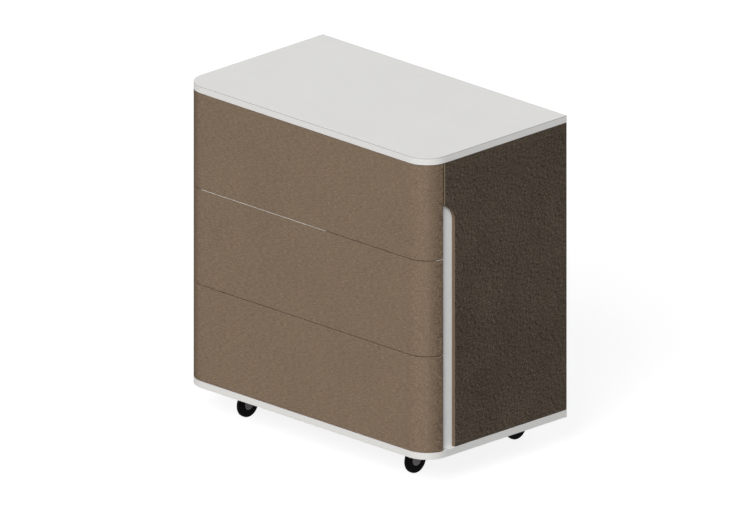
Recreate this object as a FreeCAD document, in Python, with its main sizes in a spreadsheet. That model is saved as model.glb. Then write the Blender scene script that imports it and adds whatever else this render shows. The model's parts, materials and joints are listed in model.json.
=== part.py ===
import FreeCAD, Part
import os
import re

import Sketcher
from FreeCAD import Placement, Rotation, Vector

# A three-drawer pedestal on casters. X runs along the width, the fronts face -Y, Z is up.
# The origin is on the floor, under the middle of the casing.

SIZES = {
    # casing
    "cabinet_width": 550,  # over both side panels
    "plate_thickness": 12,  # top and base plate
    "corner_radius": 40,  # front corners of the plates and the fronts
    "plate_round": 0.5,  # softened edges of the plates
    "cladding": 7,  # leather-look layer on the sides and fronts
    "cladding_round": 0.6,  # softened edges of the cladding
    "side_board": 12,  # white board that the side panel is glued to
    "back_board": 10,  # back panel
    "panel_gap": 0.5,  # shadow gap round the side and back panels
    "back_clearance": 13,  # from the drawer boxes to the back panel
    # finger notch in the front edge of each side panel
    "notch_width": 23,
    "notch_radius": 30,
    "notch_drop": 103,  # from the top plate down to the centre of the notch's arc
    "notch_tip_round": 2.5,  # where the arc meets the panel's front edge
    # drawer fronts
    "front_height": 160.8,
    "front_gap": 1.2,  # between the fronts
    "top_gap": 0.8,  # from the upper front to the top plate
    "base_gap": 0.4,  # from the lower front to the base plate
    "front_board": 9,  # white board behind the cladding of a front
    "wrap_gap": 3,  # from the ends of the wrapped fronts to the side panels
    # drawer boxes
    "box_wall": 12,
    "box_lift": 18,  # from a front's lower edge up to its box
    "box_headroom": 22,  # from the box up to the front's upper edge
    "box_play": 0.5,  # between the box sides and the curved front board
    "bottom_board": 4,
    "bottom_lift": 10,  # from the box's lower edge up to the bottom board
    "groove_depth": 5,
    "groove_play": 0.2,
    # telescopic slides
    "slide_length": 250,
    "slide_height": 45,
    "slide_thickness": 12.7,
    "slide_gauge": 1.2,  # sheet thickness
    "slide_play": 0.3,  # between nested channels
    "slide_setback": 2,  # behind the side boards' front edges
    "cabinet_reach": 9.0,  # how far the cabinet channel's flanges stand out
    "carrier_start": 3.2,  # from the side board to the intermediate channel's web
    "carrier_end": 10.5,  # and to the tips of its flanges
    "drawer_reach": 7.7,  # depth of the drawer channel
    # wooden dowels
    "dowel_radius": 4,
    "dowel_length": 30,
    "dowel_in_plate": 9,
    "dowel_in_back": 6,
    "dowel_inset": 45,  # from the ends of the side boards
    # screws
    "hole_play": 0.05,  # between a screw or dowel and its hole
    "head_sink": 0.3,  # countersunk heads below the surface
    "screw_radius": 1.75,
    "screw_head_radius": 3.5,
    "screw_head_height": 1.5,
    "box_screw_length": 30,
    "box_screw_low": 26,  # above the box's lower edge
    "box_screw_high": 102,
    "front_screw_length": 18,
    "front_screw_inset": 60,  # from the inner faces of the box sides
    "rail_screw_length": 10,
    "rail_screw_inset": 25,  # from the ends of a slide
    "base_screw_radius": 2.25,
    "base_screw_head_radius": 4.5,
    "base_screw_length": 40,
    "caster_screw_length": 11,
    # shares of a screw's radius
    "screw_point": 1.5,  # length of the point
    "screw_tip": 0.3,  # radius of its blunt end
    # shares of a screw head's radius
    "recess_width": 0.25,  # half width of the driver's cross
    "recess_reach": 0.6,
    "recess_depth": 0.3,
    "head_crown": 0.4,  # share of a pan head's height that slopes in
    "dowel_chamfer": 1.0,
    # casters
    "wheel_radius": 22,
    "wheel_width": 7,
    "tread_round": 1.5,
    "hub_radius": 9.2,
    "hub_stand": 1.0,  # how far the hub stands out of the tyre
    "hub_round": 0.4,
    "hub_dish_radius": 6.5,
    "hub_dish_depth": 0.6,
    "rim_radius": 13,  # flange of the hub, inside the tyre
    "rim_width": 4,
    "axle_radius": 2.5,
    "axle_play": 0.05,
    "axle_cap_radius": 4.0,
    "axle_cap_height": 0.9,
    "axle_end_radius": 3.4,
    "axle_end_height": 0.4,
    "trail": 15,  # from the swivel axis to the wheel's axle
    "wheel_headroom": 1.2,  # from the wheel up to the arm's head
    "arm_head_radius": 12,
    "arm_head_thickness": 4.3,
    "arm_shoulder": 1.9,  # from the top of the arm's leg up to the top of its head
    "arm_thickness": 3,
    "arm_play": 0.4,  # between the arm and the hub
    "arm_boss_radius": 8,
    "arm_front": 7,  # the arm's root, before and behind the swivel axis
    "arm_back": 10,
    "swivel_play": 0.4,
    "caster_plate": 1.6,
    "caster_plate_side": 38,
    "caster_plate_round": 4,
    "caster_screw_inset": 4.5,  # from the mounting plate's edges
    "kingpin_radius": 3,
    "kingpin_play": 0.05,
    "kingpin_head_radius": 4.8,
    "kingpin_head_height": 1.8,
    "caster_side_inset": 86,  # from a side of the casing to a swivel axis
    "caster_end_inset": 44,  # from the front or back to a swivel axis
}

DRAWERS = ("lower", "middle", "upper")
SIDES = {"left": "-", "right": "+"}
ENDS = {"front": "-", "rear": "+"}
DOWEL_ROWS = 3  # along the top and bottom edge of each side board
DOWEL_LEVELS = 4  # up the back edge of each side board

# Lengths that follow from the sizes, each written once.
DERIVED = {
    "half_width": "cabinet_width / 2",
    "casing_depth": "corner_radius + slide_setback + slide_length + back_clearance + back_board",
    "back": "casing_depth / 2",
    "front": "0 - casing_depth / 2",
    "corner_x": "half_width - corner_radius",
    "corner_y": "front + corner_radius",
    "ride_height": "2 * wheel_radius + wheel_headroom + arm_head_thickness + swivel_play + caster_plate",
    "base_top": "ride_height + plate_thickness",
    "front_pitch": "front_height + front_gap",
    "body_height": "base_gap + %d * front_pitch - front_gap + top_gap" % len(DRAWERS),
    "top_underside": "base_top + body_height",
    "panel_face": "half_width - cladding",
    "board_face": "panel_face - side_board",
    "board_middle": "panel_face - side_board / 2",
    "back_inside": "back - back_board",
    "notch_rear": "corner_y + notch_width",
    "notch_centre": "body_height - notch_drop",
    "notch_top": "notch_centre + sqrt(notch_radius^2 - (notch_radius - notch_width)^2)",
    "wrap_end": "corner_y - wrap_gap",
    "skin_inner_radius": "corner_radius - cladding",
    "front_inner_radius": "corner_radius - cladding - front_board",
    "skin_back": "front + cladding",
    "front_back": "front + cladding + front_board",
    "wrap_outer": "corner_x + sqrt(corner_radius^2 - wrap_gap^2)",
    "wrap_middle": "corner_x + sqrt(skin_inner_radius^2 - wrap_gap^2)",
    "wrap_inner": "corner_x + sqrt(front_inner_radius^2 - wrap_gap^2)",
    "box_face": "board_face - slide_thickness",
    "box_inside": "box_face - box_wall",
    "box_height": "front_height - box_lift - box_headroom",
    "box_top": "box_lift + box_height",
    "box_front_back": "front_back + box_wall",
    "curve_at_side": "sqrt(front_inner_radius^2 - max(0; box_face - corner_x)^2)",
    "side_front": "corner_y - curve_at_side + box_play",
    "rail_front": "corner_y + slide_setback",
    "rail_back": "rail_front + slide_length",
    "rail_level": "box_lift + box_height / 2",
    "bottom_under": "box_lift + bottom_lift",
    "bottom_top": "bottom_under + bottom_board",
    "hub_half": "wheel_width / 2 + hub_stand",
    "arm_inner": "hub_half + arm_play",
    "arm_outer": "arm_inner + arm_thickness",
    "arm_head_under": "2 * wheel_radius + wheel_headroom",
    "arm_head_top": "arm_head_under + arm_head_thickness",
    "caster_plate_under": "ride_height - caster_plate",
    "caster_x": "half_width - caster_side_inset",
    "caster_y": "back - caster_end_inset",
    "screw_spread": "caster_plate_side / 2 - caster_screw_inset",
}

document = FreeCAD.newDocument("pedestal")
sheet = document.addObject("Spreadsheet::Sheet", "Sizes")


def fill_sheet():
    """Write each driving dimension into the sheet, with its name as the alias."""
    for row, (name, number) in enumerate(SIZES.items(), start=1):
        sheet.set("A%d" % row, name)
        sheet.set("B%d" % row, str(number))
        sheet.setAlias("B%d" % row, name)
    document.recompute()


def formula(text):
    """Spell out the derived lengths in a formula and point its names at the sheet."""

    def spell(match):
        word = match.group()
        if word in DERIVED:
            return "(" + formula(DERIVED[word]) + ")"
        if word in SIZES:
            return "Sizes." + word
        return word

    return re.sub(r"[a-z_]+", spell, text)


def value(text):
    """The length that a formula gives with the sheet's numbers."""
    return float(sheet.evalExpression(formula(text)))


def name_it(thing, label):
    """Give an object its label, which also names its file."""
    thing.Label = label
    return thing


def place(thing, x="0", y="0", z="0"):
    """Bind an object's position to the sheet."""
    for axis, text in (("x", x), ("y", y), ("z", z)):
        if text != "0":
            thing.setExpression("Placement.Base." + axis, formula(text))
    return thing


# Sketches and the features made from them


def new_body(label):
    return name_it(document.addObject("PartDesign::Body", label), label)


def new_sketch(body, plane, offset="0"):
    """A sketch on one of the body's own origin planes, moved along the plane's normal."""
    sketch = body.newObject("Sketcher::SketchObject", "Sketch")
    role = plane + "_Plane"
    support = [datum for datum in body.Origin.OriginFeatures if datum.Role == role][0]
    sketch.AttachmentSupport = [(support, "")]
    sketch.MapMode = "FlatFace"
    if offset != "0":
        sketch.setExpression("AttachmentOffset.Base.z", formula(offset))
    return sketch


def constrain(sketch, kind, parts, text):
    """Add one dimension to a sketch and bind it to a formula."""
    index = sketch.addConstraint(Sketcher.Constraint(kind, *parts, value(text)))
    sketch.setExpression("Constraints[%d]" % index, formula(text))


def arc_centre(start, end, radius, turn):
    """Centre of the short arc from start to end; turn is 1 for anticlockwise, -1 for clockwise."""
    chord = end - start
    half = chord.Length / 2
    normal = Vector(-chord.y, chord.x, 0).normalize()
    return (start + end) / 2 + normal * (turn * (radius**2 - half**2) ** 0.5)


def outline(sketch, corners):
    """Close a line through corners, each x and y, or x, y, radius and turn where an arc leads to it."""
    points = [Vector(value(corner[0]), value(corner[1]), 0) for corner in corners]
    ends = []
    for number, corner in enumerate(corners):
        start = points[number - 1]
        end = points[number]
        if len(corner) == 2:
            index = sketch.addGeometry(Part.LineSegment(start, end))
            ends.append((index, 1, 2))
            continue
        radius, turn = value(corner[2]), corner[3]
        centre = arc_centre(start, end, radius, turn)
        first, last = (start, end) if turn > 0 else (end, start)
        circle = Part.Circle(centre, Vector(0, 0, 1), radius)
        arc = Part.ArcOfCircle(circle, circle.parameter(first), circle.parameter(last))
        index = sketch.addGeometry(arc)
        ends.append((index, 1, 2) if turn > 0 else (index, 2, 1))
    for number, corner in enumerate(corners):
        index, start_point, end_point = ends[number]
        following = ends[(number + 1) % len(ends)][:2]
        sketch.addConstraint(Sketcher.Constraint("Coincident", index, end_point, *following))
        constrain(sketch, "DistanceX", (-1, 1, index, end_point), corner[0])
        constrain(sketch, "DistanceY", (-1, 1, index, end_point), corner[1])
        if len(corner) > 2:
            constrain(sketch, "Radius", (index,), corner[2])


def rectangle(sketch, x_low, x_high, y_low, y_high):
    outline(sketch, [(x_low, y_low), (x_high, y_low), (x_high, y_high), (x_low, y_high)])


def circle(sketch, x, y, radius):
    index = sketch.addGeometry(Part.Circle(Vector(value(x), value(y), 0), Vector(0, 0, 1), value(radius)))
    constrain(sketch, "DistanceX", (-1, 1, index, 3), x)
    constrain(sketch, "DistanceY", (-1, 1, index, 3), y)
    constrain(sketch, "Radius", (index,), radius)


def pad(body, sketch, length, backwards=False):
    feature = body.newObject("PartDesign::Pad", "Pad")
    feature.Profile = sketch
    feature.Reversed = backwards
    feature.setExpression("Length", formula(length))
    return feature


def pocket(body, sketch, length, backwards=False):
    feature = body.newObject("PartDesign::Pocket", "Pocket")
    feature.Profile = sketch
    feature.Reversed = backwards
    feature.setExpression("Length", formula(length))
    return feature


def turn_about_x(body, sketch):
    """Turn a half profile drawn on the XY plane once round the body's X axis."""
    feature = body.newObject("PartDesign::Revolution", "Revolution")
    feature.Profile = sketch
    feature.ReferenceAxis = (sketch, ["H_Axis"])
    feature.Angle = 360
    return feature


def round_edges(body, radius, wanted):
    """Round every edge of the body so far for which wanted(box of the edge) is true."""
    document.recompute()
    base = body.Tip
    names = []
    for number, edge in enumerate(base.Shape.Edges, start=1):
        if wanted(edge.BoundBox):
            names.append("Edge%d" % number)
    feature = body.newObject("PartDesign::Fillet", "Fillet")
    feature.Base = (base, names)
    feature.setExpression("Radius", formula(radius))
    return feature


def near(first, second):
    return abs(first - second) < 1e-4


def flat_at(box, axis, level):
    """True if a box is flat across an axis and lies at a level on it."""
    return near(getattr(box, axis + "Min"), level) and near(getattr(box, axis + "Max"), level)


def block(label, x_low, x_high, y_low, y_high, z_low, height):
    """A board with square edges, drawn in plan and padded upwards."""
    body = new_body(label)
    sketch = new_sketch(body, "XY", z_low)
    rectangle(sketch, x_low, x_high, y_low, y_high)
    pad(body, sketch, height)
    return body


def span(side, inner, outer):
    """Low and high x of a stretch from inner to outer, on the left or the right."""
    if side == "right":
        return inner, outer
    return "0 - " + outer, "0 - " + inner


# Screws, dowels and the holes for them


def turned(stretches):
    """One solid of stacked cones and cylinders along Z, each (start, end, start radius, end radius)."""
    solid = None
    for start, end, start_radius, end_radius in stretches:
        base = Vector(0, 0, start)
        if near(start_radius, end_radius):
            piece = Part.makeCylinder(start_radius, end - start, base)
        else:
            piece = Part.makeCone(start_radius, end_radius, end - start, base)
        solid = piece if solid is None else solid.fuse(piece)
    return solid.removeSplitter()


def screw_tip(radius, length, play):
    """Shank from the surface inwards, with a blunt point."""
    point = value("screw_point") * radius
    tip = value("screw_tip") * radius
    return [
        (0, length - point, radius + play, radius + play),
        (length - point, length, radius + play, tip + play),
    ]


def cross_recess(radius, level):
    """The cross that a driver turns, cut downwards from a head's face at a level."""
    width = value("recess_width") * radius
    reach = value("recess_reach") * radius
    depth = value("recess_depth") * radius
    bars = []
    for half_x, half_y in ((reach, width), (width, reach)):
        bars.append(Part.makeBox(2 * half_x, 2 * half_y, depth, Vector(-half_x, -half_y, level)))
    return bars[0].fuse(bars[1])


def pan_screw(radius, length, head_radius, head_height, play=0):
    """Head below Z 0, shank above it; with play it is the hole instead, which has no head."""
    shank = screw_tip(radius, length, play)
    if play:
        return turned(shank)
    crown = value("head_crown") * head_height
    head = [
        (-head_height, crown - head_height, head_radius - crown, head_radius),
        (crown - head_height, 0, head_radius, head_radius),
    ]
    return turned(head + shank).cut(cross_recess(head_radius, -head_height))


def sunk_screw(radius, length, head_radius, sink, play=0):
    """Conical head from Z 0 inwards, set below the surface by the sink; with play it is the hole."""
    cone = head_radius - radius
    shank = screw_tip(radius, length, play)
    head = [(0, cone, head_radius + play, radius + play)]
    if play:
        return turned([(-sink, 0, head_radius + play, head_radius + play)] + head + shank)
    return turned(head + shank).cut(cross_recess(head_radius, 0))


def dowel(radius, length, play=0):
    """Plain dowel from Z 0 up, with chamfered ends; with play it is the hole."""
    if play:
        return turned([(0, length, radius + play, radius + play)])
    chamfer = value("dowel_chamfer")
    return turned(
        [
            (0, chamfer, radius - chamfer, radius),
            (chamfer, length - chamfer, radius, radius),
            (length - chamfer, length, radius, radius - chamfer),
        ]
    )


def spread(label, shape, places):
    """Copies of one shape, each turned so that its Z points along a direction, as one group."""
    copies = []
    for position, direction in places:
        copy = shape.copy()
        copy.Placement = Placement(Vector(*position), Rotation(Vector(0, 0, 1), Vector(*direction)))
        copies.append(copy)
    group = document.addObject("Part::Feature", label)
    group.Shape = Part.makeCompound(copies)
    return name_it(group, label)


def gather(label, groups):
    """Several groups of separate solids as one node."""
    node = document.addObject("Part::Compound", label)
    node.Links = groups
    return name_it(node, label)


def drill(label, blank, tools):
    """The blank with the tools' holes in it, under the node's name."""
    blank.Label = label + " blank"
    tool = tools[0] if len(tools) == 1 else gather(label + " holes", tools)
    cut = document.addObject("Part::Cut", label)
    cut.Base = blank
    cut.Tool = tool
    return name_it(cut, label)


def even_steps(first, last, count):
    """Evenly spaced numbers from first to last."""
    return [first + (last - first) * step / (count - 1) for step in range(count)]


nodes = []


def keep(thing):
    nodes.append(thing)
    return thing


fill_sheet()

# Casing fasteners, in the frame of the whole piece

play = value("hole_play")
sink = value("head_sink")
board_middle = value("board_middle")
rows = even_steps(value("corner_y + dowel_inset"), value("back_inside - dowel_inset"), DOWEL_ROWS)
levels = even_steps(value("base_top + dowel_inset"), value("top_underside - dowel_inset"), DOWEL_LEVELS)
dowel_start = value("top_underside + dowel_in_plate - dowel_length")
back_dowel_start = value("back_inside + dowel_in_back - dowel_length")
upright = [((x, y, dowel_start), (0, 0, 1)) for x in (-board_middle, board_middle) for y in rows]
lying = [((x, back_dowel_start, z), (0, 1, 0)) for x in (-board_middle, board_middle) for z in levels]
plain_dowel = dowel(value("dowel_radius"), value("dowel_length"))
dowel_hole = dowel(value("dowel_radius"), value("dowel_length"), play)
keep(spread("dowels", plain_dowel, upright + lying))
dowel_holes = spread("dowel holes", dowel_hole, upright + lying)

base_screw_sizes = (value("base_screw_radius"), value("base_screw_length"), value("base_screw_head_radius"))
base_head = value("ride_height + head_sink")
base_places = [((x, y, base_head), (0, 0, 1)) for x in (-board_middle, board_middle) for y in rows]
keep(spread("base_screws", sunk_screw(*base_screw_sizes, sink), base_places))
base_screw_holes = spread("base screw holes", sunk_screw(*base_screw_sizes, sink, play), base_places)

rail_rows = [value("rail_front + rail_screw_inset"), value("rail_back - rail_screw_inset")]
rail_levels = [
    value("base_top + base_gap + %d * front_pitch + rail_level" % number) for number in range(len(DRAWERS))
]
rail_screw_sizes = (
    value("screw_radius"),
    value("rail_screw_length"),
    value("screw_head_radius"),
    value("screw_head_height"),
)


def rail_places(web_face, levels_up, outward):
    """Screws through the webs of the slides, two a slide, driven outwards or inwards."""
    places = []
    for sign in (-1, 1):
        for y in rail_rows:
            for z in levels_up:
                places.append(((sign * web_face, y, z), (sign * outward, 0, 0)))
    return places


cabinet_web = value("board_face - slide_gauge")
keep(spread("rail_screws", pan_screw(*rail_screw_sizes), rail_places(cabinet_web, rail_levels, 1)))
rail_screw_holes = spread(
    "rail screw holes", pan_screw(*rail_screw_sizes, play), rail_places(cabinet_web, rail_levels, 1)
)

caster_centres = [(x, y) for x in ("0 - caster_x", "caster_x") for y in ("0 - caster_y", "caster_y")]
caster_screw_places = []
for x, y in caster_centres:
    for step_x in (-1, 1):
        for step_y in (-1, 1):
            point_x = value("%s + %d * screw_spread" % (x, step_x))
            point_y = value("%s + %d * screw_spread" % (y, step_y))
            caster_screw_places.append(((point_x, point_y, value("caster_plate_under")), (0, 0, 1)))
caster_screw_sizes = (
    value("screw_radius"),
    value("caster_screw_length"),
    value("screw_head_radius"),
    value("screw_head_height"),
)
keep(spread("caster_screws", pan_screw(*caster_screw_sizes), caster_screw_places))
caster_screw_holes = spread("caster screw holes", pan_screw(*caster_screw_sizes, play), caster_screw_places)

# Casing boards


def plate_blank(label, level):
    """Plate with two rounded front corners, flush with the fronts and the side panels."""
    body = new_body(label)
    sketch = new_sketch(body, "XY", level)
    outline(
        sketch,
        [
            ("half_width", "back"),
            ("0 - half_width", "back"),
            ("0 - half_width", "corner_y"),
            ("0 - corner_x", "front", "corner_radius", 1),
            ("corner_x", "front"),
            ("half_width", "corner_y", "corner_radius", 1),
        ],
    )
    pad(body, sketch, "plate_thickness")
    round_edges(body, "plate_round", lambda box: near(box.ZMin, box.ZMax))
    return body


keep(drill("top_plate", plate_blank("top blank", "top_underside"), [dowel_holes]))
keep(drill("base_plate", plate_blank("base blank", "ride_height"), [base_screw_holes, caster_screw_holes]))


def side_board(side):
    """White board between the plates, with its front edge behind the wrapped fronts."""
    x_low, x_high = span(side, "board_face", "panel_face")
    body = block(side + " board", x_low, x_high, "corner_y", "back_inside", "base_top", "body_height")
    return drill(side + "_side_board", body, [dowel_holes, base_screw_holes, rail_screw_holes])


def side_panel(side):
    """Leather-look panel with a finger notch that runs from the base plate up to a round end."""
    body = new_body(side + "_side_panel")
    x_low = span(side, "panel_face", "half_width")[0]
    sketch = new_sketch(body, "YZ", x_low)
    low = "base_top + panel_gap"
    high = "top_underside - panel_gap"
    outline(
        sketch,
        [
            ("notch_rear", low),
            ("back", low),
            ("back", high),
            ("corner_y", high),
            ("corner_y", "base_top + notch_top"),
            ("notch_rear", "base_top + notch_centre", "notch_radius", -1),
        ],
    )
    pad(body, sketch, "cladding")
    front_edge = value("corner_y")
    tip = value("base_top + notch_top")
    outer = value("half_width") * (1 if side == "right" else -1)
    round_edges(
        body, "notch_tip_round", lambda box: flat_at(box, "Y", front_edge) and flat_at(box, "Z", tip)
    )
    round_edges(body, "cladding_round", lambda box: flat_at(box, "X", outer))
    return body


for side in SIDES:
    keep(side_board(side))
    keep(side_panel(side))

back_blank = new_body("back blank")
back_sketch = new_sketch(back_blank, "XZ", "0 - back")
rectangle(
    back_sketch,
    "0 - panel_face + panel_gap",
    "panel_face - panel_gap",
    "base_top + panel_gap",
    "top_underside - panel_gap",
)
pad(back_blank, back_sketch, "back_board")
round_edges(back_blank, "cladding_round", lambda box: flat_at(box, "Y", value("back")))
keep(drill("back_panel", back_blank, [dowel_holes]))

# Slides


def channel(sketch, side, web, tip, half_height, level):
    """Upright channel section; web and tip are measured inwards from the side board's face."""
    outwards = value(tip) > value(web)
    web_inside = "%s %s slide_gauge" % (web, "+" if outwards else "-")
    facing = "" if side == "right" else "0 - "
    lines = []
    for depth, height in (
        (web, "0 - (%s)" % half_height),
        (web, half_height),
        (tip, half_height),
        (tip, "%s - slide_gauge" % half_height),
        (web_inside, "%s - slide_gauge" % half_height),
        (web_inside, "slide_gauge - (%s)" % half_height),
        (tip, "slide_gauge - (%s)" % half_height),
        (tip, "0 - (%s)" % half_height),
    ):
        lines.append(("%s(board_face - (%s))" % (facing, depth), "%s + %s" % (level, height)))
    outline(sketch, lines)


CABINET_HALF = "slide_height / 2"
CARRIER_HALF = "(slide_height / 2 - slide_gauge - slide_play)"
RUNNER_HALF = "(slide_height / 2 - 2 * slide_gauge - 2 * slide_play)"


def rails(label, web, tip, half_height, levels_up):
    """Left and right channels of one kind at each level, as separate solids of one body."""
    body = new_body(label)
    sketch = new_sketch(body, "XZ", "0 - rail_front")
    for side in SIDES:
        for level in levels_up:
            channel(sketch, side, web, tip, half_height, level)
    pad(body, sketch, "slide_length", backwards=True)
    return body


def drawer_level(number):
    """Height of a front's lower edge, counted from the lowest drawer."""
    return "base_top + base_gap + %d * front_pitch" % number


cabinet_levels = [drawer_level(number) + " + rail_level" for number in range(len(DRAWERS))]
cabinet_blank = rails("cabinet rail blank", "0", "cabinet_reach", CABINET_HALF, cabinet_levels)
keep(drill("cabinet_rails", cabinet_blank, [rail_screw_holes]))

# Drawers, each drawn from its front's lower edge up and placed at its level


def wrapped_front(label, outer_x, outer_radius, outer_y, inner_x, inner_radius, inner_y):
    """Shell that is flat in front and curves round both corners to its two upright ends."""
    body = new_body(label)
    sketch = new_sketch(body, "XY")
    outline(
        sketch,
        [
            ("0 - " + outer_x, "wrap_end"),
            ("0 - corner_x", outer_y, outer_radius, 1),
            ("corner_x", outer_y),
            (outer_x, "wrap_end", outer_radius, 1),
            (inner_x, "wrap_end"),
            ("corner_x", inner_y, inner_radius, -1),
            ("0 - corner_x", inner_y),
            ("0 - " + inner_x, "wrap_end", inner_radius, -1),
        ],
    )
    pad(body, sketch, "front_height")
    return body


def on_outer_face(box):
    """Edges of a front's outer face: its rims above and below, and its two upright ends."""
    halfway_out = value("(wrap_outer + wrap_middle) / 2")
    halfway_in = value("front + cladding / 2")
    if near(box.ZMin, box.ZMax):
        return box.YMin < halfway_in or max(-box.XMin, box.XMax) > halfway_out
    return near(box.XMin, box.XMax) and abs(box.XMin) > halfway_out


def drawer_fasteners(name):
    """Screws of one drawer and the holes that they need, on the drawer's own level."""
    low, high = value("box_lift + box_screw_low"), value("box_lift + box_screw_high")
    sizes = (value("screw_radius"), value("box_screw_length"), value("screw_head_radius"))
    corners = []
    for sign in (-1, 1):
        for y in (value("front_back + box_wall / 2"), value("rail_back - box_wall / 2")):
            for z in (low, high):
                corners.append(((sign * value("box_face - head_sink"), y, z), (-sign, 0, 0)))
    fronts = []
    for sign in (-1, 1):
        for z in (low, high):
            x = sign * value("box_inside - front_screw_inset")
            fronts.append(((x, value("box_front_back"), z), (0, -1, 0)))
    webs = rail_places(value("box_face + slide_gauge"), [value("rail_level")], -1)
    head = (value("screw_head_radius"), value("screw_head_height"))
    radius = value("screw_radius")
    front_length = value("front_screw_length")
    kinds = [
        ("box", corners, sunk_screw(*sizes, sink), sunk_screw(*sizes, sink, play)),
        (
            "front",
            fronts,
            pan_screw(radius, front_length, *head),
            pan_screw(radius, front_length, *head, play),
        ),
        ("rail", webs, pan_screw(*rail_screw_sizes), pan_screw(*rail_screw_sizes, play)),
    ]
    screws = [spread("%s %s screws" % (name, kind), solid, places) for kind, places, solid, hole in kinds]
    holes = {kind: spread("%s %s holes" % (name, kind), hole, places) for kind, places, solid, hole in kinds}
    return gather(name + "_screws", screws), holes


def grooved(body, plane, offset, low, high, depth, backwards):
    """Cut the groove for the bottom board into a face of a box board."""
    sketch = new_sketch(body, plane, offset)
    rectangle(sketch, low, high, "bottom_under", "bottom_top + groove_play")
    pocket(body, sketch, depth, backwards)
    return body


def drawer(number, word):
    """All pieces of one drawer and the intermediate rails that carry it."""
    name = word + "_drawer"
    screws, holes = drawer_fasteners(name)
    skin = wrapped_front(
        name + "_cladding",
        "wrap_outer",
        "corner_radius",
        "front",
        "wrap_middle",
        "skin_inner_radius",
        "skin_back",
    )
    round_edges(skin, "cladding_round", on_outer_face)
    board = wrapped_front(
        name + "_front_board",
        "wrap_middle",
        "skin_inner_radius",
        "skin_back",
        "wrap_inner",
        "front_inner_radius",
        "front_back",
    )
    box_front = block(
        name + " box front",
        "0 - box_inside",
        "box_inside",
        "front_back",
        "box_front_back",
        "box_lift",
        "box_height",
    )
    depth = "groove_depth + groove_play"
    grooved(box_front, "XZ", "0 - box_front_back", "0 - box_inside", "box_inside", depth, True)
    box_back = block(
        name + " box back",
        "0 - box_inside",
        "box_inside",
        "rail_back - box_wall",
        "rail_back",
        "bottom_top",
        "box_top - (bottom_top)",
    )
    bottom = block(
        name + "_bottom",
        "0 - box_inside - groove_depth",
        "box_inside + groove_depth",
        "box_front_back - groove_depth",
        "rail_back",
        "bottom_under",
        "bottom_board",
    )
    pieces = [
        screws,
        skin,
        drill(name + "_front_board", board, [holes["front"]]),
        drill(name + "_box_front", box_front, [holes["front"], holes["box"]]),
        drill(name + "_box_back", box_back, [holes["box"]]),
        bottom,
    ]
    for side in SIDES:
        x_low, x_high = span(side, "box_inside", "box_face")
        wall = block(
            "%s %s side" % (name, side), x_low, x_high, "side_front", "rail_back", "box_lift", "box_height"
        )
        inner = "box_inside" if side == "right" else "0 - box_inside"
        grooved(wall, "YZ", inner, "side_front", "rail_back", depth, side == "right")
        pieces.append(drill("%s_box_%s" % (name, side), wall, [holes["box"], holes["rail"]]))
    runner = rails(
        name + " rails", "slide_thickness", "slide_thickness - drawer_reach", RUNNER_HALF, ["rail_level"]
    )
    pieces.append(drill(name + "_rails", runner, [holes["rail"]]))
    pieces.append(
        rails(word + "_slide_carriers", "carrier_start", "carrier_end", CARRIER_HALF, ["rail_level"])
    )
    for piece in pieces:
        keep(place(piece, z=drawer_level(number)))


for number, word in enumerate(DRAWERS):
    drawer(number, word)

# Casters: mounting plates and kingpins stay on the base, the rest swivels

plates = new_body("caster plate blank")
plate_sketch = new_sketch(plates, "XY", "caster_plate_under")
half_side = "caster_plate_side / 2"
for x, y in caster_centres:
    turns = []
    for sign_x, sign_y in ((1, 1), (-1, 1), (-1, -1), (1, -1)):
        full = ("%s + (%d) * %s" % (x, sign_x, half_side), "%s + (%d) * %s" % (y, sign_y, half_side))
        short = (
            "%s + (%d) * (%s - caster_plate_round)" % (x, sign_x, half_side),
            "%s + (%d) * (%s - caster_plate_round)" % (y, sign_y, half_side),
        )
        if sign_x == sign_y:
            turns += [(full[0], short[1]), (short[0], full[1], "caster_plate_round", 1)]
        else:
            turns += [(short[0], full[1]), (full[0], short[1], "caster_plate_round", 1)]
    outline(plate_sketch, turns)
    circle(plate_sketch, x, y, "kingpin_radius")
pad(plates, plate_sketch, "caster_plate")
keep(drill("caster_plates", plates, [caster_screw_holes]))

kingpins = new_body("caster_kingpins")
head_sketch = new_sketch(kingpins, "XY", "arm_head_under - kingpin_head_height")
stem_sketch = new_sketch(kingpins, "XY", "arm_head_under - kingpin_head_height")
for x, y in caster_centres:
    circle(head_sketch, x, y, "kingpin_head_radius")
    circle(stem_sketch, x, y, "kingpin_radius")
pad(kingpins, head_sketch, "kingpin_head_height")
pad(kingpins, stem_sketch, "ride_height - arm_head_under + kingpin_head_height")
keep(kingpins)


def caster_arm(label):
    """Head with a bore for the kingpin, and one leg down the wheel's left side to its axle."""
    body = new_body(label)
    leg = new_sketch(body, "YZ", "0 - arm_outer")
    lower = "wheel_radius - arm_boss_radius"
    outline(
        leg,
        [
            ("0 - arm_front", "arm_head_under"),
            ("trail - arm_boss_radius", "wheel_radius"),
            ("trail", lower, "arm_boss_radius", 1),
            ("trail + arm_boss_radius", "wheel_radius", "arm_boss_radius", 1),
            ("arm_back", "arm_head_top - arm_shoulder"),
            ("0 - arm_front", "arm_head_top - arm_shoulder"),
        ],
    )
    pad(body, leg, "arm_thickness")
    head = new_sketch(body, "XY", "arm_head_under")
    circle(head, "0", "0", "arm_head_radius")
    pad(body, head, "arm_head_thickness")
    bore = new_sketch(body, "XY", "arm_head_under")
    circle(bore, "0", "0", "kingpin_radius + kingpin_play")
    pocket(body, bore, "arm_head_thickness", backwards=True)
    eye = new_sketch(body, "YZ", "0 - arm_outer")
    circle(eye, "trail", "wheel_radius", "axle_radius")
    pocket(body, eye, "arm_thickness", backwards=True)
    return body


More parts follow.
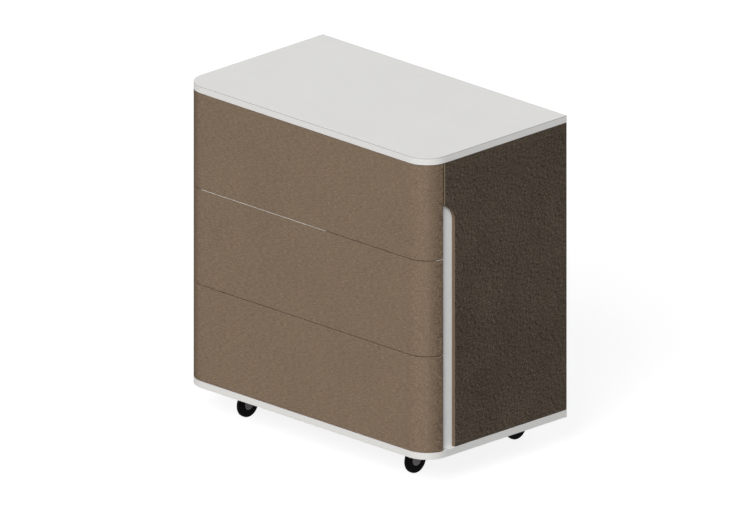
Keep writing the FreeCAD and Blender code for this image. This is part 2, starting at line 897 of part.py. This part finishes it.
def caster_axle(label):
    """Pin with a cap outside the arm and a small riveted end in the hub's dish."""
    body = new_body(label)
    sketch = new_sketch(body, "XY")
    end = "hub_half - hub_dish_depth + axle_play"
    outline(
        sketch,
        [
            ("0 - arm_outer - axle_cap_height", "0"),
            (end + " + axle_end_height", "0"),
            (end + " + axle_end_height", "axle_end_radius"),
            (end, "axle_end_radius"),
            (end, "axle_radius"),
            ("0 - arm_outer", "axle_radius"),
            ("0 - arm_outer", "axle_cap_radius"),
            ("0 - arm_outer - axle_cap_height", "axle_cap_radius"),
        ],
    )
    turn_about_x(body, sketch)
    return body


def caster_hub(label):
    """Grey hub with a dished face on each side and a flange that the tyre grips."""
    body = new_body(label)
    sketch = new_sketch(body, "XY")
    dish = "(hub_half - hub_dish_depth)"
    bore = "axle_radius + axle_play"
    outline(
        sketch,
        [
            ("0 - " + dish, bore),
            (dish, bore),
            (dish, "hub_dish_radius"),
            ("hub_half", "hub_dish_radius"),
            ("hub_half", "hub_radius"),
            ("rim_width / 2", "hub_radius"),
            ("rim_width / 2", "rim_radius"),
            ("0 - rim_width / 2", "rim_radius"),
            ("0 - rim_width / 2", "hub_radius"),
            ("0 - hub_half", "hub_radius"),
            ("0 - hub_half", "hub_dish_radius"),
            ("0 - " + dish, "hub_dish_radius"),
        ],
    )
    turn_about_x(body, sketch)
    face = value("hub_half")
    rim = value("hub_radius")
    round_edges(
        body,
        "hub_round",
        lambda box: near(box.ZMax, rim) and (flat_at(box, "X", face) or flat_at(box, "X", -face)),
    )
    return body


def caster_tyre(label):
    """Black tyre with rounded shoulders, moulded round the hub's flange."""
    body = new_body(label)
    sketch = new_sketch(body, "XY")
    side = "wheel_width / 2"
    outline(
        sketch,
        [
            (side, "hub_radius"),
            (side, "wheel_radius - tread_round"),
            (side + " - tread_round", "wheel_radius", "tread_round", 1),
            ("tread_round - " + side, "wheel_radius"),
            ("0 - " + side, "wheel_radius - tread_round", "tread_round", 1),
            ("0 - " + side, "hub_radius"),
            ("0 - rim_width / 2", "hub_radius"),
            ("0 - rim_width / 2", "rim_radius"),
            ("rim_width / 2", "rim_radius"),
            ("rim_width / 2", "hub_radius"),
        ],
    )
    turn_about_x(body, sketch)
    return body


for end, end_sign in ENDS.items():
    for side, side_sign in SIDES.items():
        name = "caster_%s_%s_" % (end, side)
        x = "0 %s caster_x" % side_sign
        y = "0 %s caster_y" % end_sign
        keep(place(caster_arm(name + "arm"), x, y))
        for make, word in ((caster_axle, "axle"), (caster_hub, "hub"), (caster_tyre, "tyre")):
            keep(place(make(name + word), x, y + " + trail", "wheel_radius"))

document.recompute()


def check_and_write():
    """Stop on any failed object or bad shape, then write one file for each node."""
    for thing in document.Objects:
        if "Invalid" in thing.State or "Error" in thing.State:
            raise RuntimeError("failed object: " + thing.Label)
    os.makedirs("parts", exist_ok=True)
    for node in nodes:
        shape = node.Shape
        if shape.isNull() or not shape.isValid() or not shape.Solids:
            raise RuntimeError("bad shape: " + node.Label)
        shape.exportStep("parts/%s.step" % node.Label)
    print("%d nodes, %d solids" % (len(nodes), sum(len(node.Shape.Solids) for node in nodes)))


check_and_write()
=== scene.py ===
import json
import math

import bmesh
import bpy
import numpy as np
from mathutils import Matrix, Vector


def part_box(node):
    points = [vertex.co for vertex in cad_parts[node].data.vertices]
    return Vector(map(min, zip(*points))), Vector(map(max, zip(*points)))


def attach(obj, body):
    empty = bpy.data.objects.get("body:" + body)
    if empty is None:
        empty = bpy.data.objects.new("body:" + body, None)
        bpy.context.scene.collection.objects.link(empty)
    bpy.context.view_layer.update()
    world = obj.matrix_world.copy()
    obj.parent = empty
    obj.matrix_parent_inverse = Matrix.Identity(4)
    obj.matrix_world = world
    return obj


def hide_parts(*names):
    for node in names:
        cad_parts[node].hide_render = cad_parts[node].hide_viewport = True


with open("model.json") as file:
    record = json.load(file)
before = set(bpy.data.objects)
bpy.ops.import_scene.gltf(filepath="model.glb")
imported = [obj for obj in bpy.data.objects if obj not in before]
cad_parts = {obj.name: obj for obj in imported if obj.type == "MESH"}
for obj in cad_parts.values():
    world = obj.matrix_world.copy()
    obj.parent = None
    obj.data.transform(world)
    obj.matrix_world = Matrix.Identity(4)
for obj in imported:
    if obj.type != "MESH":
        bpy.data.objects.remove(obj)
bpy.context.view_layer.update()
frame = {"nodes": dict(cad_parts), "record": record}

# A three-drawer pedestal on casters: white plates, brown leather-look fronts and sides.
# Lengths are in metres, colours are linear.

nodes = frame["nodes"]

CASTERS = [end + "_" + side for end in ("front", "rear") for side in ("left", "right")]

# The plates' front corners: where their arcs are centred, and the arcs' radius
CORNER_X, CORNER_Y, CORNER_RADIUS = 0.235, -0.1175, 0.040
# Radius at which a caster's tyre sits on its hub, and outer radius of the flange that holds it
TYRE_SEAT, FLANGE_RADIUS = 0.0092, 0.013

# Finishes


def colour(red, green, blue):
    """Linear colour of an sRGB value from 0 to 255: the standard curve, its power part alone."""
    return tuple(((channel / 255 + 0.055) / 1.055) ** 2.4 for channel in (red, green, blue)) + (1.0,)


class Finish:
    """A material under construction: one Principled shader and the nodes that vary it over a surface."""

    def __init__(self, name, **sockets):
        self.material = bpy.data.materials.new(name)
        self.material.use_nodes = True
        self.tree = self.material.node_tree
        self.shader = self.tree.nodes["Principled BSDF"]
        for socket, value in sockets.items():
            self.shader.inputs[socket.replace("_", " ")].default_value = value
        self.place = self.add("ShaderNodeTexCoord").outputs["Object"]

    def add(self, kind, inputs=None, **settings):
        """Add a node; inputs are numbers, colours or sockets to wire in."""
        node = self.tree.nodes.new(kind)
        for name, value in settings.items():
            setattr(node, name, value)
        for name, value in (inputs or {}).items():
            if isinstance(value, bpy.types.NodeSocket):
                self.tree.links.new(value, node.inputs[name])
            else:
                node.inputs[name].default_value = value
        return node

    def stretched(self, scale, turn=(0.0, 0.0, 0.0)):
        """Object coordinates turned and then scaled, so that a pattern runs along one direction."""
        turned = self.add("ShaderNodeMapping", {"Vector": self.place, "Rotation": turn})
        sized = self.add("ShaderNodeMapping", {"Vector": turned.outputs[0], "Scale": scale})
        return sized.outputs[0]

    def noise(self, scale, detail=2.0, place=None, roughness=0.5):
        """Cloudy pattern, about 0.5 on average; scale counts its spots per metre."""
        inputs = {"Vector": place or self.place, "Scale": scale, "Detail": detail, "Roughness": roughness}
        return self.add("ShaderNodeTexNoise", inputs).outputs[0]

    def pebbles(self, scale):
        """Distance to the nearest crease between cells: 0 in a crease, more on a pebble."""
        inputs = {"Vector": self.place, "Scale": scale}
        return self.add("ShaderNodeTexVoronoi", inputs, feature="DISTANCE_TO_EDGE").outputs["Distance"]

    def math(self, operation, first, second=0.0):
        """One step of arithmetic on two numbers or sockets."""
        return self.add("ShaderNodeMath", {0: first, 1: second}, operation=operation).outputs[0]

    def weighed(self, *parts):
        """Sum of patterns, each times its weight."""
        total = None
        for pattern, weight in parts:
            share = self.math("MULTIPLY", pattern, weight)
            total = share if total is None else self.math("ADD", total, share)
        return total

    def spread(self, pattern, low, high, start=0.0, end=1.0):
        """Map low to high onto start to end, and hold the ends."""
        inputs = {"Value": pattern, "From Min": low, "From Max": high, "To Min": start, "To Max": end}
        return self.add("ShaderNodeMapRange", inputs).outputs[0]

    def blend(self, share, first, second):
        """Mix two colours: share 0 gives the first, 1 the second."""
        node = self.add("ShaderNodeMix", data_type="RGBA")
        for socket, value in ((0, share), (6, first), (7, second)):
            if isinstance(value, bpy.types.NodeSocket):
                self.tree.links.new(value, node.inputs[socket])
            else:
                node.inputs[socket].default_value = value
        return node.outputs[2]

    def set(self, socket, source):
        """Wire a pattern or colour to a socket of the shader."""
        self.tree.links.new(source, self.shader.inputs[socket])

    def relief(self, *layers):
        """Stack bumps, each a pattern, its height in metres and its strength."""
        normal = None
        for pattern, height, strength in layers:
            inputs = {"Height": pattern, "Distance": height, "Strength": strength}
            if normal is not None:
                inputs["Normal"] = normal
            normal = self.add("ShaderNodeBump", inputs).outputs[0]
        self.set("Normal", normal)

    def along(self, name):
        """One object coordinate: X, Y or Z."""
        return self.add("ShaderNodeSeparateXYZ", {"Vector": self.place}).outputs[name]


def darker(shade, part):
    """The shade with its colour channels times a part below 1."""
    return tuple(channel * part for channel in shade[:3]) + (1.0,)


def band(finish, coordinate, low, high, blur):
    """1 between two values of a coordinate, 0 outside them, blurred at both ends."""
    above = finish.spread(coordinate, low - blur, low)
    below = finish.spread(coordinate, high, high + blur, 1.0, 0.0)
    return finish.math("MULTIPLY", above, below)


def corner_reach(finish, depth):
    """How far a point lies outside the lines through the centres of the front corners, level with the
    floor: the root of (|X| - CORNER_X) squared plus (CORNER_Y - Y) squared, with 0 in place of a
    difference below 0. The plate's edge is where this is the corner's radius."""
    outside = finish.math("SUBTRACT", finish.math("ABSOLUTE", finish.along("X")), CORNER_X)
    aside = finish.math("MAXIMUM", outside, 0.0)
    ahead = finish.math("MAXIMUM", finish.math("SUBTRACT", CORNER_Y, depth), 0.0)
    squares = [finish.math("POWER", part, 2.0) for part in (aside, ahead)]
    return finish.math("SQRT", finish.math("ADD", *squares))


def plate_edges(finish, skin, shade):
    """The lacquer is thinner just under the top plate's upper edge, and the base plate's edge in the gap
    under the fronts is darkened, a painted shade of the gap."""
    height, depth = finish.along("Z"), finish.along("Y")
    thin = band(finish, height, 0.5600, 0.5614, 0.0001)
    skin = finish.blend(thin, skin, darker(shade, 0.68))
    on_rim = finish.spread(corner_reach(finish, depth), CORNER_RADIUS - 0.00055, CORNER_RADIUS - 0.00045)
    in_front = finish.spread(depth, CORNER_Y - 0.004, CORNER_Y - 0.003, 1.0, 0.0)
    in_gap = band(finish, height, 0.06305, 0.0640, 0.00005)
    # Painted shade: the base plate's edge is darkened where it lies in the gap under the fronts
    painted_gap_shade = finish.math("MULTIPLY", finish.math("MULTIPLY", on_rim, in_front), in_gap)
    return finish.blend(painted_gap_shade, skin, colour(92, 78, 66))


def lacquer(name, shade, plates=False):
    """Satin white lacquer: a trace of orange peel and of uneven gloss."""
    finish = Finish(name, Roughness=0.42, Specular_IOR_Level=0.4)
    clouds = finish.noise(11.0, 3.0)
    skin = finish.blend(finish.spread(clouds, 0.35, 0.65), darker(shade, 0.985), shade)
    if plates:
        skin = plate_edges(finish, skin, shade)
    finish.set("Base Color", skin)
    finish.set("Roughness", finish.spread(finish.noise(60.0, 2.0), 0.3, 0.7, 0.36, 0.46))
    finish.relief((finish.noise(420.0, 1.0), 0.00006, 0.25))
    return finish.material


def leather_tone(finish, grain, run, hatched, contrast):
    """Share of the light colour: broad patches, a hatch drawn out along run, fine grain and pebbles with
    dark creases."""
    patches = finish.noise(9.0, 3.0, roughness=0.55)
    hatch = finish.noise(0.8 / grain, 2.0, run, 0.5)
    fine = finish.noise(1.0 / grain, 1.0)
    pebbles = finish.spread(finish.pebbles(0.8 / grain), 0.0, 0.22)
    patchy, grained, pebbled = 0.06, 0.7, 0.12
    share = finish.weighed(
        (patches, patchy), (hatch, hatched), (fine, grained - hatched), (pebbles, pebbled)
    )
    # Noise is 0.5 on average and the pebbles are 0.62
    usual = 0.5 * (patchy + grained) + 0.62 * pebbled
    return hatch, fine, pebbles, finish.spread(share, usual - contrast, usual + contrast)


def leather(name):
    """Matt leather-look foil, with little shine so that it stays brown where it is seen at a slant."""
    return Finish(name, Roughness=0.62, IOR=1.1, Specular_IOR_Level=0.12)


def slanting(finish):
    """Coordinates for a grain drawn out along a line that climbs towards the back."""
    return finish.stretched((1.0, 0.25, 1.0), (math.radians(-33.0), 0.0, 0.0))


def front_leather():
    """Leather-look of the fronts: grain drawn out sideways; on the wrapped ends a slanting grain and a
    darker colour, partly a darker leather and partly painted shade where the fronts turn away from the
    light.
    """
    finish = leather("front leather")
    run = finish.stretched((0.2, 1.0, 1.0))
    hatch, fine, pebbles, tone = leather_tone(finish, 0.0013, run, 0.36, 0.11)
    slant = leather_tone(finish, 0.0014, slanting(finish), 0.45, 0.1)[3]
    skin = finish.blend(tone, colour(111, 95, 80), colour(147, 127, 108))
    # Painted shade, partly a darker leather: the wrapped ends darken as the fronts turn away from the
    # light
    end_grain_and_shade = finish.blend(slant, colour(77, 65, 54), colour(140, 121, 102))
    right_end = finish.spread(finish.along("X"), 0.2630, 0.2760)
    left_end = finish.spread(finish.along("X"), -0.2620, -0.2380, 1.0, 0.0)
    finish.set("Base Color", finish.blend(finish.math("MAXIMUM", right_end, left_end), skin, end_grain_and_shade))
    finish.set("Roughness", finish.spread(fine, 0.3, 0.7, 0.56, 0.72))
    finish.relief((hatch, 0.0002, 0.4), (pebbles, 0.00008, 0.5), (fine, 0.0001, 0.4))
    return finish.material


def side_leather():
    """Leather-look of the flat panels, with a slanting grain. The outer faces of the sides and the back
    are darker, partly a darker leather and partly painted shade of faces turned away from the light; what
    isn't an outer face, the panels' edges, keeps a lighter tone near that of the fronts, and the panels'
    front edges are lighter still, a painted light in the slit that the wrapped ends of the fronts shade."""
    finish = leather("side leather")
    hatch, fine, pebbles, tone = leather_tone(finish, 0.001, slanting(finish), 0.36, 0.056)
    skin = finish.blend(tone, colour(46, 41, 35), colour(121, 108, 94))
    # Painted shade, partly a darker leather: the outer faces of the sides and the back turn away from the
    # light
    side_faces = finish.spread(finish.math("ABSOLUTE", finish.along("X")), 0.2744, 0.2748)
    back_face = finish.spread(finish.along("Y"), 0.1563, 0.1573)
    faces = finish.math("MAXIMUM", side_faces, back_face)
    panels = finish.blend(faces, colour(120, 103, 87), skin)
    # Painted light: the panels' front edges are lighter to make up for the shade that the wrapped ends of
    # the fronts cast in the slit
    lit_front_edge = finish.spread(finish.along("Y"), -0.1171, -0.1168, 1.0, 0.0)
    finish.set("Base Color", finish.blend(lit_front_edge, panels, colour(138, 119, 100)))
    finish.set("Roughness", finish.spread(fine, 0.3, 0.7, 0.56, 0.72))
    finish.relief((hatch, 0.0003, 0.4), (pebbles, 0.0002, 0.5), (fine, 0.0003, 0.5))
    return finish.material


def melamine(name, shade):
    """White board foil with a faint pebble."""
    finish = Finish(name, Roughness=0.5, Specular_IOR_Level=0.4)
    clouds = finish.spread(finish.noise(35.0, 3.0), 0.3, 0.7)
    finish.set("Base Color", finish.blend(clouds, darker(shade, 0.96), shade))
    finish.relief((finish.noise(900.0, 2.0), 0.00008, 0.3))
    return finish.material


def beech(name):
    """Plain beech: fine grain drawn out upwards, with short darker flecks."""
    finish = Finish(name, Roughness=0.6)
    grain = finish.noise(260.0, 4.0, finish.stretched((1.0, 1.0, 0.08)))
    flecks = finish.spread(finish.noise(700.0, 1.0, finish.stretched((1.0, 1.0, 0.2))), 0.55, 0.7)
    wood = finish.blend(finish.spread(grain, 0.35, 0.65), colour(188, 146, 100), colour(216, 180, 134))
    finish.set("Base Color", finish.blend(finish.math("MULTIPLY", flecks, 0.4), wood, colour(140, 98, 60)))
    finish.relief((grain, 0.0001, 0.4))
    return finish.material


def zinc(name, shade, brushed):
    """Zinc-plated steel: faint crystal patches, uneven gloss and drawing lines."""
    finish = Finish(name, Metallic=1.0, Roughness=0.34)
    crystals = finish.add("ShaderNodeTexVoronoi", {"Vector": finish.place, "Scale": 160.0})
    patches = finish.spread(crystals.outputs["Color"], 0.0, 1.0)
    lines = finish.noise(1200.0, 2.0, finish.stretched(brushed))
    share = finish.spread(finish.weighed((patches, 0.5), (finish.noise(40.0, 3.0), 0.5)), 0.25, 0.75)
    finish.set("Base Color", finish.blend(share, darker(shade, 0.86), shade))
    finish.set("Roughness", finish.spread(lines, 0.3, 0.7, 0.26, 0.44))
    finish.relief((lines, 0.00005, 0.3))
    return finish.material


def plastic(name, shade, roughness, grain, depth, gloss=0.45):
    """Moulded plastic or rubber: fine spark-eroded texture and uneven gloss."""
    finish = Finish(name, Roughness=roughness, Specular_IOR_Level=gloss)
    cloud = finish.noise(120.0, 3.0)
    lighter = tuple(channel * 1.25 + 0.0006 for channel in shade[:3]) + (1.0,)
    finish.set("Base Color", finish.blend(finish.spread(cloud, 0.3, 0.7), shade, lighter))
    finish.set("Roughness", finish.spread(cloud, 0.3, 0.7, roughness - 0.06, roughness + 0.06))
    finish.relief((finish.noise(grain, 2.0), depth, 0.4))
    return finish.material


WHITE = colour(225, 224, 222)

finishes = {
    "white_lacquer": lacquer("white lacquer", WHITE, True),
    # Painted light: the side boards' lacquer is whiter than the plates' to make up for the shade in the
    # notch
    "board_lacquer": lacquer("board lacquer", colour(246, 247, 247)),
    "front_leather": front_leather(),
    "side_leather": side_leather(),
    "box_board": melamine("box board", colour(222, 221, 217)),
    "bottom_board": melamine("bottom board", colour(214, 213, 208)),
    "beech": beech("beech"),
    "zinc_rail": zinc("zinc rail", (0.62, 0.63, 0.64, 1.0), (0.02, 0.02, 1.0)),
    "zinc_screw": zinc("zinc screw", (0.68, 0.67, 0.64, 1.0), (0.3, 1.0, 1.0)),
    "caster_zinc": zinc("caster zinc", (0.6, 0.61, 0.62, 1.0), (1.0, 0.3, 1.0)),
    "caster_arm": plastic("caster arm", (0.012, 0.012, 0.012, 1.0), 0.5, 1500.0, 0.00006),
    "hub_grey": plastic("hub grey", colour(104, 99, 99), 0.42, 1800.0, 0.00004),
    "tyre_black": plastic("tyre black", (0.0006, 0.0006, 0.0006, 1.0), 0.65, 1400.0, 0.00005, 0.05),
}


def dress(piece, finish):
    """Give a piece one finish all over."""
    piece.data.materials.clear()
    piece.data.materials.append(finishes[finish])


for entry in frame["record"]["subparts"]:
    dress(nodes[entry["node"]], entry["material_slot"])

# New pieces: grids of points, worked out as whole arrays


def piece_from_grid(name, points, slot, body, replaced=(), wrap_rows=False, wrap_columns=False):
    """Mesh of a grid of points, shape (rows, columns, 3), closed where a direction wraps. Points that
    fall together are merged, which closes poles and ends, and the faces are turned to point outwards."""
    rows, columns = points.shape[:2]
    index = np.arange(rows * columns).reshape(rows, columns)
    if wrap_rows:
        index = np.vstack([index, index[:1]])
    if wrap_columns:
        index = np.hstack([index, index[:, :1]])
    quads = np.stack([index[:-1, :-1], index[1:, :-1], index[1:, 1:], index[:-1, 1:]], axis=-1)
    quads = quads.reshape(-1, 4)
    flat = points.reshape(-1, 3)
    corners = flat[quads]
    first = np.cross(corners[:, 1] - corners[:, 0], corners[:, 2] - corners[:, 0])
    second = np.cross(corners[:, 2] - corners[:, 0], corners[:, 3] - corners[:, 0])
    if ((first + second) * (corners.mean(axis=1) - flat.mean(axis=0))).sum() < 0:
        quads = quads[:, ::-1]
    mesh = bpy.data.meshes.new(name)
    mesh.from_pydata(flat.tolist(), [], quads.tolist())
    work = bmesh.new()
    work.from_mesh(mesh)
    bmesh.ops.remove_doubles(work, verts=work.verts, dist=1e-6)
    work.to_mesh(mesh)
    work.free()
    mesh.polygons.foreach_set("use_smooth", np.ones(len(mesh.polygons), bool))
    mesh.set_sharp_from_angle(angle=math.radians(32))
    piece = bpy.data.objects.new(name, mesh)
    bpy.context.scene.collection.objects.link(piece)
    dress(piece, slot)
    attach(piece, body)
    if replaced:
        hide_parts(*replaced)
    return piece


def rounded(corners, steps=6):
    """Closed outline through corners (x, y, radius): each corner is an arc of that radius, tangent to
    both of its sides, sampled in even steps of angle."""
    corners = np.array(corners, float)
    outline = []
    for number, (x, y, radius) in enumerate(corners):
        here = np.array([x, y])
        before = corners[number - 1, :2] - here
        after = corners[(number + 1) % len(corners), :2] - here
        before, after = before / np.linalg.norm(before), after / np.linalg.norm(after)
        if radius == 0:
            outline.append(here)
            continue
        half = math.acos(np.clip(before @ after, -1, 1)) / 2
        centre = here + (before + after) / np.linalg.norm(before + after) * radius / math.sin(half)
        start = here + before * radius / math.tan(half) - centre
        end = here + after * radius / math.tan(half) - centre
        share = np.arange(steps + 1)[:, None] / steps
        angle = math.pi - 2 * half
        arc = np.sin((1 - share) * angle) * start + np.sin(share * angle) * end
        outline.extend(centre + arc / math.sin(angle))
    return np.array(outline)


def revolved(outline, centre, segments=96):
    """Points (x, radius) turned round the X axis: (x, radius sin t, radius cos t) about the centre."""
    angle = np.linspace(0, 2 * math.pi, segments, endpoint=False)
    x, radius = outline[:, 0], outline[:, 1]
    ring = np.stack([np.zeros_like(angle), np.sin(angle), np.cos(angle)], axis=-1)
    points = radius[:, None, None] * ring[None]
    points[:, :, 0] = x[:, None]
    return points + np.array(centre)


def middle(node):
    """Centre and half sizes of a CAD node's box."""
    low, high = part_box(node)
    return (low + high) / 2, (high - low) / 2


def tyre(caster):
    """Tyre section with rounded shoulders, a crowned tread and one shallow groove on each side wall."""
    node = "caster_%s_tyre" % caster
    centre, half = middle(node)
    face, radius = half.x, half.z
    soft, shoulder, crown = 0.0002, 0.0014, 0.0002
    groove, groove_half, deep = 0.0136, 0.0005, 0.0003
    side = [
        (face, TYRE_SEAT, soft),
        (face, groove - groove_half, soft),
        (face - deep, groove, soft),
        (face, groove + groove_half, soft),
        (face, radius - crown, shoulder),
        (0.0, radius, 0.0),
    ]
    other = [(-x, level, round_off) for x, level, round_off in reversed(side[:-1])]
    outline = rounded(side + other)
    body = "caster_%s_wheel" % caster
    piece_from_grid("tyre_" + caster, revolved(outline, centre), "tyre_black", body, [node], True, True)


def hub(caster):
    """Hub section: raised rim and a dished face round the axle. A flat cap with a bevelled edge is snapped
    into the outer dish, over the axle's end."""
    node = "caster_%s_hub" % caster
    centre, half = middle(node)
    face = half.x
    bore, dish, ring, lean = 0.00255, face - 0.0006, 0.0065, 0.0001
    flange = 0.002
    side = [
        (dish, bore, 0.0),
        (dish, ring, 0.00015),
        (face, ring + lean, 0.0001),
        (face, TYRE_SEAT, 0.0005),
        (flange, TYRE_SEAT, 0.0),
        (flange, FLANGE_RADIUS, 0.0),
    ]
    other = [(-x, level, round_off) for x, level, round_off in reversed(side)]
    outline = rounded(side + other)
    body = "caster_%s_wheel" % caster
    piece_from_grid("hub_" + caster, revolved(outline, centre), "hub_grey", body, [node], True, True)
    inner, edge, bevel = face - 0.00011, ring - 0.0001, 0.00004
    cap = np.array([(inner, 0.0), (inner, edge), (face - bevel, edge), (face, edge - bevel), (face, 0.0)])
    piece_from_grid("hub_cap_" + caster, revolved(cap, centre), "hub_grey", body, (), False, True)


for caster in CASTERS:
    tyre(caster)
    hub(caster)


def joint_line(name, path):
    """White board edge that shows in the upper joint: a thin strip carried along a path, set back from
    the face of the fronts. A row of the path is a point (x, y) and its outward direction (x, y), and each
    end closes to a point."""
    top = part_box("middle_drawer_cladding")[1].z
    setback, thickness, height = 0.0008, 0.0012, 0.0006
    section = np.array([(0.0, 0.0), (thickness, 0.0), (thickness, height), (0.0, height)])
    position, outward = path[:, :2], path[:, 2:]
    points = np.zeros((len(path), 4, 3))
    points[:, :, :2] = position[:, None] - outward[:, None] * (setback + section[None, :, :1])
    points[:, :, 2] = top + section[None, :, 1]
    ends = points[[0, -1]].mean(axis=1, keepdims=True).repeat(4, axis=1)
    points = np.concatenate([ends[:1], points, ends[1:]])
    piece_from_grid(name, points, "white_lacquer", "middle_drawer", (), False, True)


def flat_path(start, end, count):
    """Even steps along the flat face of the fronts: (x, front, 0, -1)."""
    x = np.linspace(start, end, count)
    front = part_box("middle_drawer_cladding")[0].y
    return np.stack([x, np.full(count, front), np.zeros(count), np.full(count, -1.0)], axis=-1)


def corner_path(start, end, count):
    """Even steps round the right corner, in degrees t from the flat face: the corner's centre plus its
    radius times (sin t, -cos t), with (sin t, -cos t) pointing outwards."""
    turn = np.radians(np.linspace(start, end, count))
    across, ahead = np.sin(turn), -np.cos(turn)
    return np.stack(
        [CORNER_X + CORNER_RADIUS * across, CORNER_Y + CORNER_RADIUS * ahead, across, ahead], axis=-1
    )


joint_line("joint_line_front", flat_path(-0.235, 0.045, 15))
joint_line("joint_line_corner", corner_path(66.0, 84.0, 9))

# Floor, light and camera


def shown_rays(tree):
    """1 for rays that the camera, a reflection or a clear piece sends out, else 0."""
    path = tree.nodes.new("ShaderNodeLightPath")
    total = path.outputs["Is Camera Ray"]
    for name in ("Is Glossy Ray", "Is Transmission Ray"):
        larger = tree.nodes.new("ShaderNodeMath")
        larger.operation = "MAXIMUM"
        tree.links.new(total, larger.inputs[0])
        tree.links.new(path.outputs[name], larger.inputs[1])
        total = larger.outputs[0]
    return total


def floor():
    """Pale floor that keeps the shadow and fills up to white where the light reaches it."""
    size, shade, glow_level = 6.0, 0.22, 0.86
    mesh = bpy.data.meshes.new("floor")
    corners = [(-size, -size, 0.0), (size, -size, 0.0), (size, size, 0.0), (-size, size, 0.0)]
    mesh.from_pydata(corners, [], [(0, 1, 2, 3)])
    piece = bpy.data.objects.new("floor", mesh)
    bpy.context.scene.collection.objects.link(piece)
    material = bpy.data.materials.new("floor")
    material.use_nodes = True
    tree = material.node_tree
    tree.nodes.clear()
    diffuse = tree.nodes.new("ShaderNodeBsdfDiffuse")
    diffuse.inputs["Color"].default_value = (shade, shade, shade, 1.0)
    glow = tree.nodes.new("ShaderNodeEmission")
    level = tree.nodes.new("ShaderNodeMath")
    level.operation = "MULTIPLY"
    tree.links.new(shown_rays(tree), level.inputs[0])
    level.inputs[1].default_value = glow_level
    tree.links.new(level.outputs[0], glow.inputs["Strength"])
    both = tree.nodes.new("ShaderNodeAddShader")
    tree.links.new(diffuse.outputs[0], both.inputs[0])
    tree.links.new(glow.outputs[0], both.inputs[1])
    output = tree.nodes.new("ShaderNodeOutputMaterial")
    tree.links.new(both.outputs[0], output.inputs["Surface"])
    mesh.materials.append(material)


def surroundings():
    """Even, slightly cool light from all round; the camera sees white."""
    world = bpy.data.worlds.new("room")
    bpy.context.scene.world = world
    world.use_nodes = True
    tree = world.node_tree
    background = tree.nodes["Background"]
    background.inputs["Color"].default_value = (0.96, 0.985, 1.0, 1.0)
    background.inputs["Strength"].default_value = 0.37
    white = tree.nodes.new("ShaderNodeBackground")
    white.inputs["Color"].default_value = (1.0, 1.0, 1.0, 1.0)
    mix = tree.nodes.new("ShaderNodeMixShader")
    tree.links.new(shown_rays(tree), mix.inputs["Fac"])
    tree.links.new(background.outputs[0], mix.inputs[1])
    tree.links.new(white.outputs[0], mix.inputs[2])
    tree.links.new(mix.outputs[0], tree.nodes["World Output"].inputs["Surface"])


def sun(name, azimuth, elevation, energy, angle, tint):
    """Soft distant lamp; azimuth counts from -Y towards +X, both angles in degrees."""
    lamp = bpy.data.lights.new(name, "SUN")
    lamp.energy = energy
    lamp.angle = math.radians(angle)
    lamp.color = tint
    holder = bpy.data.objects.new(name, lamp)
    across, up = math.radians(azimuth), math.radians(elevation)
    level = math.cos(up)
    towards = Vector((math.sin(across) * level, -math.cos(across) * level, math.sin(up)))
    holder.rotation_euler = towards.to_track_quat("Z", "Y").to_euler()
    bpy.context.scene.collection.objects.link(holder)


def camera():
    """Parallel projection from 45 degrees to the right and asin(1/3) above, like the photograph's."""
    eye = bpy.data.cameras.new("camera")
    eye.type = "ORTHO"
    eye.ortho_scale = 1.196
    eye.clip_end = 20.0
    holder = bpy.data.objects.new("camera", eye)
    aim, distance = Vector((0.0, 0.0, 0.2815)), 3.0
    towards = Vector((2.0, -2.0, 1.0)) / 3.0
    holder.location = aim + towards * distance
    holder.rotation_euler = towards.to_track_quat("Z", "Y").to_euler()
    bpy.context.scene.collection.objects.link(holder)
    bpy.context.scene.camera = holder


floor()
surroundings()
sun("key", 24.0, 36.0, 2.7, 30.0, (1.0, 0.985, 0.965))
sun("fill", 95.0, 6.0, 0.37, 60.0, (0.95, 0.97, 1.0))
camera()
bpy.context.scene.view_settings.view_transform = "Standard"
